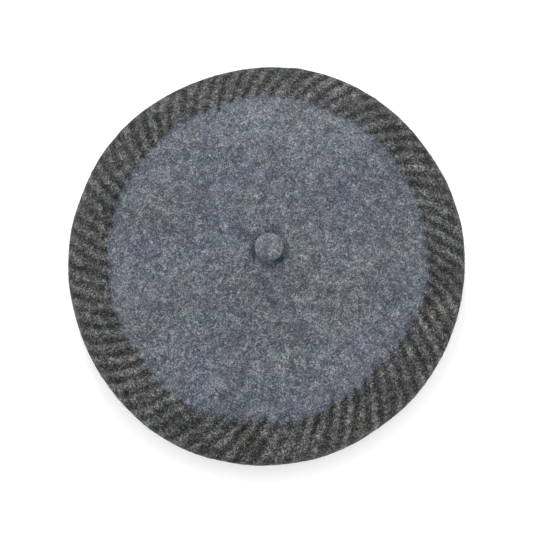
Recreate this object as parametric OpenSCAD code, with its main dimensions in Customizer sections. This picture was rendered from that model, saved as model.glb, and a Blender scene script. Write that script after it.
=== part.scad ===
// Wool felt beret with a striped rim and a covered button.
// It stands on its headband: Z is up, the table is z = 0, and the button's axis is the Z axis.
// The back of the head is towards +Y. Millimetres.

/* [Felt shell] */
// Widest diameter, across the turned edge
beret_d = 280; // [270:1:290]
// Diameter of the plain crown, out to its seam with the striped rim
crown_d = 226; // [220:1:232]
// Thickness of the fulled wool cloth
felt_t = 2.4; // [2:0.1:2.8]
// Height of the crown's seam above the table
crown_seam_z = 48; // [46:1:52]
// Slope of the crown where it meets the rim, in degrees below level
crown_slope = 19; // [17:1:21]
// Slope of the rim where it starts to turn under, in degrees below level
rim_slope = 28; // [26:1:32]
// Outer radius of the turned edge
edge_r = 8; // [7:0.5:9]
// Depth of the dimple that the button is pulled down into
dimple_depth = 1.6; // [1:0.1:2]
// Radius of the dimple's level floor
dimple_floor_r = 10; // [9:0.5:12]
// Radius at which the dimple has run out into the dome
dimple_r = 18; // [16:0.5:24]

/* [Headband] */
// Outside diameter of the headband
band_d = 174; // [170:1:178]
// Height of the headband, from the table to the underside of the rim
band_h = 26; // [24:1:28]
// Thickness of the headband's cloth
band_t = 2.2; // [2:0.1:2.4]
// Gap between the headband's two plies, which holds the elastic
band_gap = 1.2; // [1.1:0.1:1.6]
// Height of the inner ply
hem_h = 22; // [20:1:23]
// Width of the elastic
elastic_w = 10; // [8:1:12]
// Thickness of the grosgrain sweatband
ribbon_t = 0.7; // [0.5:0.1:0.9]
// Width of the grosgrain sweatband
ribbon_w = 21; // [18:1:22]

/* [Stitching] */
// Radius of the linking yarn
yarn_r = 0.9; // [0.7:0.1:1]
// Radius of the sewing thread
thread_r = 0.3; // [0.2:0.05:0.35]
// Stitches in the row round the hem
hem_stitch_count = 84; // [60:1:100]
// Stitches in the row round the sweatband
ribbon_stitch_count = 96; // [60:1:110]

/* [Labels] */
// Width of the woven label, along the band
main_label_w = 46; // [40:1:50]
// Height of the woven label
main_label_h = 15; // [13:1:16]
// Thickness of both labels
label_t = 0.45; // [0.4:0.05:0.6]
// Width of the hanging care label
care_w = 26; // [24:1:27]
// Drop of the care label below its fold
care_drop = 19; // [16:1:20]
// Height of the sewn end of the care label
care_tab_h = 2.6; // [2.4:0.1:3]

/* [Button] */
// Diameter of the covered button
button_d = 20.6; // [20:0.1:21]
// Height of the covered button
button_h = 8.2; // [8:0.1:8.6]
// Radius of the button's rounded lower edge
button_edge_r = 1.6; // [1.4:0.1:1.7]
// Thickness of the felt over the button
button_felt_t = 1.1; // [1:0.05:1.2]
// Space between the dimple's floor and the button's edge
button_gap = 2.5; // [2.5:0.1:2.8]
// Radius of the shank wire
wire_r = 0.45; // [0.4:0.05:0.5]
// Mean radius of the wire eye, and of the thread's arch through it
eye_r = 1.5; // [1.5:0.1:1.6]
// Radius of the thread bundle
bundle_r = 0.6; // [0.5:0.05:0.65]
// Radius of the thread's stem through the felt
stem_r = 2.15; // [2.15:0.05:2.2]
// Radial clearance of the stem in the felt, and of the wire's feet in their saddles
running_gap = 0.1; // [0.05:0.01:0.1]

/* [Hidden] */

$fn = 96;
touch = 0.03;

// The meridian is three arcs that run on from each other, measured by their slope below level.
beret_r = beret_d / 2;
crown_r = crown_d / 2;
crown_arc_r = crown_r / sin(crown_slope);
crown_arc_z = crown_seam_z - crown_arc_r * cos(crown_slope);
rim_arc_r = (beret_r - crown_r - edge_r * (1 - sin(rim_slope))) / (sin(rim_slope) - sin(crown_slope));
rim_arc_x = crown_r - rim_arc_r * sin(crown_slope);
rim_arc_z = crown_seam_z - rim_arc_r * cos(crown_slope);
edge_x = beret_r - edge_r;
edge_z = rim_arc_z + (rim_arc_r - edge_r) * cos(rim_slope);
edge_bottom_z = edge_z - edge_r;

// The underside rises from the turned edge's lowest point to the headband.
band_r = band_d / 2;
under_run = edge_x - band_r;
under_rise = band_h - edge_bottom_z;
under_arc_r = (under_run * under_run + under_rise * under_rise) / (2 * under_rise);
under_sweep = asin(under_run / under_arc_r);

band_inner_r = band_r - 2 * band_t - band_gap;
band_top_z = band_h + felt_t + 1.6;
hem_fold_r = 1.4;
ribbon_r = band_inner_r - touch;
ribbon_inner_r = ribbon_r - ribbon_t;
ribbon_z = 3.5;
ribbon_top_z = ribbon_z + ribbon_w;

// The button's stack, up from the dimple's floor.
dome_top_z = crown_arc_z + crown_arc_r;
floor_z = dome_top_z - dimple_depth;
felt_under_z = floor_z - felt_t;
collar_z = floor_z + 0.3;
arch_z = collar_z + wire_r + 0.35;
eye_z = arch_z + eye_r;
button_z = floor_z + button_gap;
button_r = button_d / 2;
plate_z = button_z + 1.2;
plate_t = 0.7;
plate_r = 8.4;
feet_z = plate_z + plate_t + wire_r + running_gap;
feet_reach = 3.6;
patch_r = 12;
patch_t = 1.2;
patch_gap = 0.2;
anchor_r = 6;
anchor_t = 1.8;
anchor_top_z = felt_under_z - patch_gap - patch_t - 0.3;
anchor_hole_x = 1.6;

// The care label hangs from this fold, inside the band on the -X side.
care_x = -(ribbon_inner_r - 1.6);
care_fold_z = ribbon_top_z - 1.5;
fold_gap = 0.3;

// Points on an arc about (x, z), where the angle is the slope below level of the surface.
function arc_points(x, z, r, from, to, steps) = [
    for (i = [0:steps])
        let (slope = from + (to - from) * i / steps)
            [x + r * sin(slope), z + r * cos(slope)]
];

// How far the dimple lowers the dome at radius r.
function dip(r) =
    r <= dimple_floor_r ? dimple_depth
    : r >= dimple_r ? 0
    : dimple_depth * (1 + cos(180 * (r - dimple_floor_r) / (dimple_r - dimple_floor_r))) / 2;

// One point of the crown's meridian, inset from its outer surface.
function crown_point(r, inset) =
    let (slope = asin(r / crown_arc_r), arc_r = crown_arc_r - inset)
        [arc_r * sin(slope), crown_arc_z + arc_r * cos(slope) - dip(r)];

// Radii at which the crown's meridian is drawn: close together over the dimple's wall.
function crown_stations() = concat(
    [0, dimple_floor_r],
    [for (i = [1:4]) dimple_floor_r + (dimple_r - dimple_floor_r) * i / 4],
    [for (i = [1:8]) dimple_r + (crown_r - dimple_r) * i / 8]
);

function reversed(list) = [for (i = [len(list) - 1:-1:0]) list[i]];

// A strip of cloth between two meridian lines, turned about the axis.
module turned_cloth(outer, inner) {
    rotate_extrude()
        polygon(concat(outer, reversed(inner)));
}

// A round cord bent into a ring about the axis.
module yarn_ring(r, z) {
    rotate_extrude()
        translate([r, z])
            circle(r = yarn_r, $fn = 24);
}

// Stitches lying along a circle about the axis.
module stitch_ring(r, z, count, length) {
    for (i = [0:count - 1])
        rotate([0, 0, 360 * i / count])
            translate([r, 0, z])
                rotate([90, 0, 0])
                    cylinder(h = length, r = thread_r, center = true, $fn = 16);
}

// A curved plate that lies inside a ring, centred on +Y.
module ring_plate(outer_r, thickness, width, z, height) {
    sweep = width / outer_r * 180 / PI;
    rotate([0, 0, 90 - sweep / 2])
        rotate_extrude(angle = sweep)
            translate([outer_r - thickness, z])
                square([thickness, height]);
}

module crown_top() {
    stations = crown_stations();
    color("#6a6e76")
        difference() {
            turned_cloth(
                [for (r = stations) crown_point(r, 0)],
                [for (r = stations) crown_point(r, felt_t)]
            );
            translate([0, 0, felt_under_z - 1])
                cylinder(h = felt_t + 2, r = stem_r + running_gap);
        }
}

module rim_upper() {
    inner_r = edge_r - felt_t;
    color("#505151")
        turned_cloth(
            concat(
                arc_points(rim_arc_x, rim_arc_z, rim_arc_r, crown_slope, rim_slope, 5),
                arc_points(edge_x, edge_z, edge_r, rim_slope, 180, 16)
            ),
            concat(
                arc_points(rim_arc_x, rim_arc_z, rim_arc_r - felt_t, crown_slope, rim_slope, 5),
                arc_points(edge_x, edge_z, inner_r, rim_slope, 180, 16)
            )
        );
}

module rim_under() {
    steps = 6;
    arc_z = edge_bottom_z + under_arc_r;
    color("#484949")
        difference() {
            turned_cloth(
                [for (p = arc_points(0, 0, under_arc_r, 180, 181 + under_sweep, steps))
                    [edge_x + p[0], arc_z + p[1]]],
                [for (p = arc_points(0, 0, under_arc_r - felt_t, 180, 181 + under_sweep, steps))
                    [edge_x + p[0], arc_z + p[1]]]
            );
            cylinder(h = 2 * band_h, r = band_r);
        }
}

// Each seam's yarn lies on the inside, against both edges that it joins.
module crown_seam() {
    inset = felt_t + yarn_r + touch;
    color("#5a5d63")
        yarn_ring(
            crown_r - inset * sin(crown_slope),
            crown_seam_z - inset * cos(crown_slope) - touch
        );
}

module edge_seam() {
    color("#474848")
        yarn_ring(edge_x, edge_bottom_z + felt_t + yarn_r + 2 * touch);
}

module band_seam() {
    color("#474848")
        yarn_ring(band_r + yarn_r + touch, band_h + felt_t + yarn_r + 2 * touch);
}

module headband() {
    outer_in = band_r - band_t;
    inner_out = band_inner_r + band_t;
    fold_z = 2 * hem_fold_r;
    color("#4b4c4c")
        rotate_extrude() {
            translate([outer_in, fold_z])
                square([band_t, band_top_z - fold_z]);
            translate([band_inner_r, fold_z])
                square([band_t, hem_h - fold_z]);
            difference() {
                polygon(concat(
                    [[band_inner_r, fold_z]],
                    [for (p = arc_points(0, 0, hem_fold_r, 270, 180, 4))
                        [band_inner_r + hem_fold_r + p[0], hem_fold_r + p[1]]],
                    [for (p = arc_points(0, 0, hem_fold_r, 180, 90, 4))
                        [band_r - hem_fold_r + p[0], hem_fold_r + p[1]]],
                    [[band_r, fold_z]]
                ));
                translate([inner_out, hem_fold_r])
                    square([outer_in - inner_out, fold_z]);
            }
        }
}

module elastic() {
    elastic_t = band_gap - 0.2;
    color("#e8e6e0")
        rotate_extrude()
            translate([band_inner_r + band_t + 0.1, 2 * hem_fold_r])
                square([elastic_t, elastic_w]);
}

module hem_stitches() {
    color("#3d3e3f")
        stitch_ring(band_r + thread_r + 2 * touch, elastic_w + 6, hem_stitch_count, 3.2);
}

module sweatband() {
    color("#2c2e31")
        rotate_extrude()
            translate([ribbon_inner_r, ribbon_z])
                square([ribbon_t, ribbon_w]);
}

module sweatband_stitches() {
    color("#3d3e3f")
        stitch_ring(ribbon_inner_r - thread_r - 2 * touch, ribbon_top_z - 0.8, ribbon_stitch_count, 3);
}

module main_label() {
    color("#d9d6cc")
        ring_plate(
            ribbon_inner_r - touch, label_t, main_label_w,
            ribbon_z + 2, main_label_h
        );
}

// Three upright stitches at each end of the label.
module main_label_stitches() {
    label_r = ribbon_inner_r - label_t - thread_r - 3 * touch;
    end_angle = (main_label_w / 2 - 1.5) / ribbon_inner_r * 180 / PI;
    pitch = main_label_h / 3;
    color("#b9b6ac")
        for (side = [-1, 1], row = [0:2])
            rotate([0, 0, side * end_angle])
                translate([0, label_r, ribbon_z + 2 + pitch * (row + 0.5)])
                    cylinder(h = pitch * 0.6, r = thread_r, center = true, $fn = 16);
}

module care_label() {
    color("#efeeea")
        translate([care_x, -care_w / 2, care_fold_z - care_drop])
            cube([label_t, care_w, care_drop - fold_gap]);
}

module care_label_tab() {
    color("#efeeea")
        translate([care_x, -care_w / 2, care_fold_z + fold_gap])
            cube([label_t, care_w, care_tab_h]);
}

// Stitches across the tab, which hold it to the sweatband.
module care_label_stitches() {
    count = 5;
    pitch = care_w / count;
    color("#d2d0ca")
        for (i = [0:count - 1])
            translate([
                care_x + label_t + thread_r + touch,
                pitch * (i + 0.5) - care_w / 2,
                care_fold_z + fold_gap + care_tab_h / 2
            ])
                rotate([90, 0, 0])
                    cylinder(h = pitch * 0.6, r = thread_r, center = true, $fn = 16);
}

// Half an ellipse's outline over the button, from its apex out to radius r.
function button_arc(r, height, steps) = [
    for (i = [0:steps])
        let (turn = 90 * i / steps)
            [r * sin(turn), button_z + button_edge_r + height * cos(turn)]
];

module button_cover() {
    inner_r = button_r - button_felt_t;
    dome_h = button_h - button_edge_r;
    lip_r = 7.6;
    color("#666a72")
        rotate_extrude()
            polygon(concat(
                button_arc(button_r, dome_h, 14),
                [for (p = arc_points(0, 0, button_edge_r, 105, 180, 5))
                    [button_r - button_edge_r + p[0], button_z + button_edge_r + p[1]]],
                [[lip_r, button_z], [lip_r, button_z + button_felt_t],
                    [inner_r, button_z + button_felt_t]],
                reversed(button_arc(inner_r, dome_h - button_felt_t, 12))
            ));
}

module button_shell() {
    outer_r = button_r - button_felt_t - touch;
    wall = 0.5;
    dome_h = button_h - button_edge_r - button_felt_t - touch;
    foot_z = button_z + button_felt_t + touch;
    color("#c3c6c9")
        rotate_extrude()
            polygon(concat(
                button_arc(outer_r, dome_h, 12),
                [[outer_r, foot_z], [outer_r - wall, foot_z]],
                reversed(button_arc(outer_r - wall, dome_h - wall, 12))
            ));
}

// The plate snaps in above the felt's lip. Two saddles on it hold the wire's feet.
module button_back() {
    slot_x = 2 * (eye_r + wire_r) + 0.6;
    slot_y = 2 * wire_r + 0.8;
    saddle_x = 1;
    saddle_top = 0.7;
    color("#b4b7ba")
        difference() {
            union() {
                translate([0, 0, plate_z])
                    cylinder(h = plate_t, r = plate_r);
                for (side = [-1, 1])
                    translate([side * (feet_reach - saddle_x / 2 - 0.2), 0, plate_z + plate_t])
                        translate([-saddle_x / 2, -1.2, -0.1])
                            cube([saddle_x, 2.4, wire_r * 2 + running_gap + saddle_top]);
            }
            translate([-slot_x / 2, -slot_y / 2, plate_z - 1])
                cube([slot_x, slot_y, plate_t + 1.1]);
            translate([-plate_r, 0, feet_z])
                rotate([0, 90, 0])
                    cylinder(h = 2 * plate_r, r = wire_r + running_gap, $fn = 32);
        }
}

// The wire runs out along +X and -X in the saddles, down both legs and round the eye.
module button_loop() {
    leg_h = feet_z - eye_z;
    color("#9a9da0")
        translate([0, 0, eye_z]) {
            rotate([90, 0, 0])
                rotate([0, 0, 180])
                    rotate_extrude(angle = 180)
                        translate([eye_r, 0])
                            circle(r = wire_r, $fn = 24);
            for (side = [-1, 1]) {
                translate([side * eye_r, 0, 0])
                    cylinder(h = leg_h, r = wire_r, $fn = 24);
                translate([side * eye_r, 0, leg_h])
                    sphere(r = wire_r, $fn = 24);
                translate([side * eye_r, 0, leg_h])
                    rotate([0, side * 90, 0])
                        cylinder(h = feet_reach - eye_r, r = wire_r, $fn = 24);
            }
        }
}

// Half a ring of thread in the YZ plane, opening downwards.
module thread_arch(r) {
    rotate([90, 0, 90])
        rotate_extrude(angle = 180)
            translate([r, 0])
                circle(r = bundle_r, $fn = 24);
}

module button_thread() {
    stem_bottom_z = anchor_top_z + 0.1;
    tail_z = anchor_top_z - anchor_t - 0.2;
    color("#5d6168")
        union() {
            translate([0, 0, stem_bottom_z])
                cylinder(h = collar_z - stem_bottom_z, r = stem_r);
            translate([0, 0, arch_z])
                thread_arch(eye_r);
            for (side = [-1, 1]) {
                translate([0, side * eye_r, collar_z - 0.2])
                    cylinder(h = arch_z - collar_z + 0.2, r = bundle_r, $fn = 24);
                translate([0, side * anchor_hole_x, tail_z])
                    cylinder(h = stem_bottom_z - tail_z + 0.2, r = bundle_r, $fn = 24);
            }
            translate([0, 0, tail_z])
                rotate([180, 0, 0])
                    thread_arch(anchor_hole_x);
        }
}

module crown_patch() {
    color("#3f4247")
        difference() {
            translate([0, 0, felt_under_z - patch_gap - patch_t])
                cylinder(h = patch_t, r = patch_r);
            translate([0, 0, felt_under_z - patch_gap - patch_t - 1])
                cylinder(h = patch_t + 2, r = stem_r + running_gap);
        }
}

module anchor_button() {
    color("#2f3134")
        difference() {
            translate([0, 0, anchor_top_z - anchor_t])
                cylinder(h = anchor_t, r = anchor_r);
            for (side = [-1, 1])
                translate([0, side * anchor_hole_x, anchor_top_z - anchor_t - 1])
                    cylinder(h = anchor_t + 2, r = bundle_r + 0.2, $fn = 24);
        }
}

module thread_knot() {
    knot_r = 1.3;
    color("#5d6168")
        translate([bundle_r + knot_r + touch, 0, anchor_top_z - anchor_t - knot_r - touch])
            sphere(r = knot_r, $fn = 32);
}

crown_top();
rim_upper();
rim_under();
crown_seam();
edge_seam();
band_seam();
headband();
elastic();
hem_stitches();
sweatband();
sweatband_stitches();
main_label();
main_label_stitches();
care_label();
care_label_tab();
care_label_stitches();
button_shell();
button_cover();
button_back();
button_loop();
button_thread();
crown_patch();
anchor_button();
thread_knot();
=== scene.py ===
"""Looks of the wool felt beret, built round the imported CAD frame. Metres, Z up, the table at z = 0."""

import math

import bpy
import numpy as np
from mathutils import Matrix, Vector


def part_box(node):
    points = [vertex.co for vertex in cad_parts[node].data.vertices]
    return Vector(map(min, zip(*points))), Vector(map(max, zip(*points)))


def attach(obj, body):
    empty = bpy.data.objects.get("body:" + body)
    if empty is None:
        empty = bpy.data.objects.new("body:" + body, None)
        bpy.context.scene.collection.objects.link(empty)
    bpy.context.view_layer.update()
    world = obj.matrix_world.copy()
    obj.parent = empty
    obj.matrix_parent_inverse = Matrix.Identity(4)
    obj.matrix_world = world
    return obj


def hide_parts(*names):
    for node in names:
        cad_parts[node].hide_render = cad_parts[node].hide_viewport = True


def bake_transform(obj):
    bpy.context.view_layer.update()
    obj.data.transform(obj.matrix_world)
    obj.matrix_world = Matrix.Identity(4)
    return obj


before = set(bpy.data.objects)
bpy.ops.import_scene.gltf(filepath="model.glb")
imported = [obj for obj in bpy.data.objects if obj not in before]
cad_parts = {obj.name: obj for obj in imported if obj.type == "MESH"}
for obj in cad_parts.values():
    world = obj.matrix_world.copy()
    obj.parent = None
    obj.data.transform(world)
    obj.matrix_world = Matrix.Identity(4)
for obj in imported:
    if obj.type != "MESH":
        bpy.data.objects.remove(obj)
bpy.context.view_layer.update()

MM = 0.001
TURN = 2 * math.pi

# ---- Sizes, from the frame where it holds them ----
FELT = 2.4 * MM
CROWN_SLOPE = math.radians(19)
RIM_SLOPE = math.radians(28)
EDGE_R = 8 * MM
DIMPLE_DEPTH = 1.6 * MM
DIMPLE_FLOOR_R = 10 * MM
DIMPLE_R = 18 * MM
STEM_HOLE_R = 2.3 * MM
JOIN_GAP = 0.02 * MM  # between a felt piece's edge and the line of its seam
YARN_R = 0.9 * MM
YARN_PITCH = 4.5 * MM  # length of seam for each turn of its yarn
BAND_T = 2.2 * MM
BAND_FOLD_R = 1.4 * MM
HEM_H = 22 * MM
HEM_STITCHES = 84
RIBBON_T = 0.7 * MM
RIBBON_RIBS = 480
RIBBON_STITCHES = 96
LABEL_SHAPE = 15 / 46  # the woven label's height over its width
LABEL_WARP = 130
LABEL_WEFT = 42
LABEL_STITCHES = 3
CARE_STITCHES = 5
THREAD_R = 0.3 * MM
BUTTON_GAP = 2.5 * MM
COVER_T = 0.62 * MM
COVER_EDGE_R = 1.7 * MM
COVER_LIP_R = 7.7 * MM
BUNDLE_R = 0.6 * MM
THREAD_REACH = 1.55 * MM
STEM_R = 2.15 * MM
STEM_STRANDS = 13
STEM_TWIST = 2.2  # radians from the foot of the stem to its collar
ANCHOR_HOLE_Y = 1.6 * MM
PATCH_TEETH = 36
PATCH_TOOTH = 1.5 * MM

beret_r = round(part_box("rim_upper")[1].x, 3)
crown_r = round(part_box("crown_top")[1].x, 3)
seam_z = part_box("crown_top")[0].z + FELT * math.cos(CROWN_SLOPE)
band_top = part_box("headband")[1].z
band_r = round(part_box("headband")[1].x, 3)
band_h = 26 * MM

# ---- How the soft cloth departs from the CAD shell ----
# The outline against a circle, and the wander of the crown's seam along the cloth:
# (waves round the hat, size in mm, phase in degrees)
OUTLINE = ((2, 2.2, 196), (3, 0.3, 280), (4, 0.4, 75), (5, 0.3, 340), (6, 0.35, 290), (7, 0.25, 200))
OUTLINE_SHIFT = (-1.8 * MM, 0.1 * MM)
SEAM_WANDER = (
    (1, 0.5, 75), (2, 1.3, 222), (3, 0.8, 0), (4, 0.7, 0), (5, 0.3, 170), (6, 0.9, 92), (7, 0.7, 135),
    (14, 0.25, 60),
)
# Soft dents all over: (size in mm, wavelength in mm, seed)
DENTS = ((0.85, 62, 11), (0.32, 24, 12), (0.10, 9, 13))
# Creases where the shank pulls the crown in: (direction in degrees, half width, start, end and depth in mm)
CREASES = ((150, 2.6, 12, 27, 1.0), (197, 2.4, 12, 19, 0.7), (-22, 3.0, 12, 20, 0.8), (-62, 2.2, 12, 18, 0.5))
PUCKER_R = 42 * MM
PUCKER_SIZE = 0.5 * MM
SETTLE_MOST = 2.2 * MM
CLOTH = {
    "vertex_group_mass": "held", "quality": 6, "mass": 0.02, "air_damping": 2, "tension_stiffness": 60,
    "compression_stiffness": 60, "shear_stiffness": 20, "bending_stiffness": 6, "use_pressure": True,
    "uniform_pressure_force": 0.6,
}
SETTLE_GRAVITY = 0.22
SETTLE_KEEP = 0.85  # share of the even sag that the fulled felt's own stiffness holds up

# ---- Looks ----
UV_SCALE = 10  # the UV map's second number is a distance along the cloth, in tenths of a metre
UV_MM = 1000 / UV_SCALE
LIGHT = 0.735  # what a colour seen in the studio's light is multiplied by, to give the material's own
STRAND_SCALE = 0.86  # wool strands to the millimetre, across their length
STRIPES = 76
STRIPE_LEAN = 0.25  # degrees round the hat for each millimetre along the cloth
FELT_BUMP = 0.45 * MM

CAMERA_TILT = math.radians(13)  # from straight overhead, towards the wearer's face
CAMERA_LENS = 100
CAMERA_DISTANCE = 1.033
CAMERA_AIM = (-0.0017, -0.0039, 0.0285)
KEY_PLACE = (-0.25, 1.25, 1.35)
KEY_AIM = (0, 0, 0.04)
KEY_SIZE = 0.6
KEY_POWER = 13
SKY_STRENGTH = 1.30
PAPER_HALF = 6.0
PAPER_GLOW = 0.14  # the lit paper behind the hat bleaches most of its shadow


class Arc:
    """A stretch of the felt's meridian. Its angles are slopes below level."""

    def __init__(self, r, z, radius, start, end):
        self.r, self.z, self.radius, self.start = r, z, radius, start
        self.length = radius * (end - start)


def make_arcs():
    """Crown, rim, turned edge and underside, which run on from each other."""
    crown_radius = crown_r / math.sin(CROWN_SLOPE)
    bend = math.sin(RIM_SLOPE) - math.sin(CROWN_SLOPE)
    rim_radius = (beret_r - crown_r - EDGE_R * (1 - math.sin(RIM_SLOPE))) / bend
    rim_z = seam_z - rim_radius * math.cos(CROWN_SLOPE)
    edge_z = rim_z + (rim_radius - EDGE_R) * math.cos(RIM_SLOPE)
    edge_x = beret_r - EDGE_R
    run, rise = edge_x - band_r, band_h - (edge_z - EDGE_R)
    under_radius = (run * run + rise * rise) / (2 * rise)
    return [
        Arc(0, seam_z - crown_radius * math.cos(CROWN_SLOPE), crown_radius, 0, CROWN_SLOPE),
        Arc(crown_r - rim_radius * math.sin(CROWN_SLOPE), rim_z, rim_radius, CROWN_SLOPE, RIM_SLOPE),
        Arc(edge_x, edge_z, EDGE_R, RIM_SLOPE, math.pi),
        Arc(edge_x, edge_z - EDGE_R + under_radius, under_radius, math.pi,
            math.pi + math.asin(run / under_radius)),
    ]


ARCS = make_arcs()
STARTS = [sum(arc.length for arc in ARCS[:i]) for i in range(5)]
SEAM_S, EDGE_S, BOTTOM_S, BAND_S = STARTS[1:]


# ---- Small tools ----
def smooth(x, low, high):
    """0 below low, 1 above high, and an S curve between."""
    t = np.clip((np.asarray(x, float) - low) / (high - low), 0, 1)
    return t * t * (3 - 2 * t)


def turns(count):
    """Evenly spaced angles, once round."""
    return np.arange(count) * TURN / count


def around_axis(r, theta, z):
    """Points at radius r and height z, at the angle theta round the axis."""
    return np.stack(np.broadcast_arrays(r * np.cos(theta), r * np.sin(theta), z), axis=-1)


def ripple(points, wavelength, seed, waves=48):
    """Smooth noise of about unit size, as a sum of plane waves in random directions."""
    rng = np.random.default_rng(seed)
    direction = rng.normal(size=(waves, 3))
    direction /= np.linalg.norm(direction, axis=1)[:, None]
    pitch = TURN / (wavelength * rng.uniform(0.7, 1.4, waves))
    phase = rng.uniform(0, TURN, waves)
    total = np.zeros(points.shape[:-1])
    for d, k, p in zip(direction, pitch, phase):
        total += np.cos(points @ d * k + p)
    return total * math.sqrt(2 / waves)


def link(name, data):
    """A new object in the scene."""
    made = bpy.data.objects.new(name, data)
    bpy.context.scene.collection.objects.link(made)
    return made


def add_mesh(name, points, faces, uvs=None):
    """A smooth mesh object from an array of points and a list of faces. uvs is one pair for each corner."""
    mesh = bpy.data.meshes.new(name)
    mesh.from_pydata(np.asarray(points).reshape(-1, 3).tolist(), [], faces)
    if uvs is not None:
        layer = mesh.uv_layers.new(name="Cloth")
        layer.data.foreach_set("uv", np.asarray(uvs, float).ravel())
    mesh.shade_smooth()
    mesh.update()
    return link(name, mesh)


def grid_faces(rows, columns, closed_rows=False):
    """Quads over a grid of points whose columns close into a ring, and whose rows may close too."""
    i = np.arange(rows if closed_rows else rows - 1)[:, None]
    j = np.arange(columns)[None, :]
    below, right = (i + 1) % rows, (j + 1) % columns
    corners = [i * columns + j, below * columns + j, below * columns + right, i * columns + right]
    return np.stack(corners, axis=-1).reshape(-1, 4)


def closed_ring(name, points, v):
    """A closed band of cloth from rows of points round the axis. v is each row's place in the UV map."""
    rows, columns = points.shape[:2]
    i, j = np.divmod(np.arange(rows * columns), columns)
    u, below = j / columns, (i + 1) % rows
    corners = [(u, v[i]), (u, v[below]), (u + 1 / columns, v[below]), (u + 1 / columns, v[i])]
    uvs = np.stack([np.stack(pair, axis=-1) for pair in corners], axis=1)
    return add_mesh(name, points, grid_faces(rows, columns, closed_rows=True).tolist(), uvs)


def capped_ring(name, points, top, bottom):
    """A closed skin from rows of points round an axis, shut by the points top and bottom on it."""
    rows, columns = points.shape[:2]
    faces = grid_faces(rows, columns).tolist()
    first, last = rows * columns, rows * columns + 1
    for j in range(columns):
        k = (j + 1) % columns
        faces.append([first, j, k])
        faces.append([last, (rows - 1) * columns + k, (rows - 1) * columns + j])
    return add_mesh(name, np.concatenate([points.reshape(-1, 3), [top], [bottom]]), faces)


def strands(name, centres, ups, radii, sides, closed=False):
    """Round strands along rows of centre points, each one a closed mesh of its own."""
    count, knots = centres.shape[:2]
    if closed:
        tangent = np.roll(centres, -1, axis=1) - np.roll(centres, 1, axis=1)
    else:
        tangent = np.gradient(centres, axis=1)
    tangent /= np.linalg.norm(tangent, axis=2)[:, :, None]
    side = np.cross(tangent, ups)
    side /= np.linalg.norm(side, axis=2)[:, :, None]
    up = np.cross(side, tangent)
    angle = turns(sides)[:, None]
    spokes = side[:, :, None] * np.cos(angle) + up[:, :, None] * np.sin(angle)
    points = centres[:, :, None] + spokes * np.broadcast_to(radii, (knots,))[None, :, None, None]
    first = np.arange(count)[:, None, None] * knots * sides
    faces = (first + grid_faces(knots, sides, closed_rows=closed)[None]).reshape(-1, 4).tolist()
    if not closed:
        cap = np.arange(sides)
        for start in range(0, count * knots * sides, knots * sides):
            faces.append((start + cap).tolist())
            faces.append((start + (knots - 1) * sides + cap[::-1]).tolist())
    return add_mesh(name, points, faces)


def middle_of(node):
    """The middle of a CAD node's box."""
    low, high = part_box(node)
    return (np.array(low) + np.array(high)) / 2


def finish_piece(piece, body, slot, material, *nodes):
    """Gives a piece its material and its body, and hides the CAD nodes that it stands for. slot is not used.
    """
    piece.data.materials.append(material)
    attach(piece, body)
    if nodes:
        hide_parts(*nodes)


# ---- The felt shell's surface ----
def meridian(s):
    """Radius, height and slope of the undisturbed outer surface, at distance s from the apex."""
    s = np.asarray(s, float)
    r, z, slope = np.zeros(s.shape), np.zeros(s.shape), np.zeros(s.shape)
    for arc, start in zip(ARCS, STARTS):
        here = s >= start
        angle = arc.start + (s - start) / arc.radius
        slope = np.where(here, angle, slope)
        r = np.where(here, arc.r + arc.radius * np.sin(angle), r)
        z = np.where(here, arc.z + arc.radius * np.cos(angle), z)
    return r, z, slope


def wander(theta, terms):
    """The sum of a few waves round the hat, in metres."""
    return sum(size * MM * np.cos(k * theta + math.radians(at)) for k, size, at in terms)


def cloth_line(theta, s):
    """Where s falls once the seam has wandered: the cloth slides, and both its ends stay."""
    move = wander(theta, SEAM_WANDER)
    inside = np.clip(s / SEAM_S, 0, 1) ** 3
    outside = np.clip((EDGE_S - s) / (EDGE_S - SEAM_S), 0, 1)
    return s + move * np.where(s < SEAM_S, inside, outside)


def cubic(t):
    """Catmull-Rom weights of the four points about t, which is from 0 to 1."""
    return (
        ((2 - t) * t - 1) * t / 2,
        ((3 * t - 5) * t * t + 2) / 2,
        ((4 - 3 * t) * t + 1) * t / 2,
        (t - 1) * t * t / 2,
    )


class Settled:
    """How far a cloth simulation moved the shell, on a grid of rows along the cloth and columns round it."""

    grid = None

    @classmethod
    def at(cls, theta, s):
        """The move at any point, by cubic interpolation."""
        rows, columns = cls.grid.shape[:2]
        i = np.clip((s - STEM_HOLE_R) / (BAND_S - STEM_HOLE_R), 0, 1) * (rows - 1)
        j = theta / TURN % 1 * columns
        i0, j0 = np.floor(i).astype(int), np.floor(j).astype(int)
        total = np.zeros(theta.shape + (3,))
        for a, down in enumerate(cubic(i - i0), -1):
            row = np.clip(i0 + a, 0, rows - 1)
            for b, right in enumerate(cubic(j - j0), -1):
                total += (down * right)[..., None] * cls.grid[row, (j0 + b) % columns]
        return total


def crease_depth(theta, r):
    """How deep the creases beside the button are."""
    total = 0
    for at, wide, start, end, depth in CREASES:
        aside = np.abs((theta - math.radians(at) + math.pi) % TURN - math.pi) * r
        fade = smooth(r, start * MM, (start + 3) * MM) * (1 - smooth(r, (start + end) / 2 * MM, end * MM))
        total = total + depth * MM * fade * np.exp(-((aside / (wide * MM)) ** 2))
    return total


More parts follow.
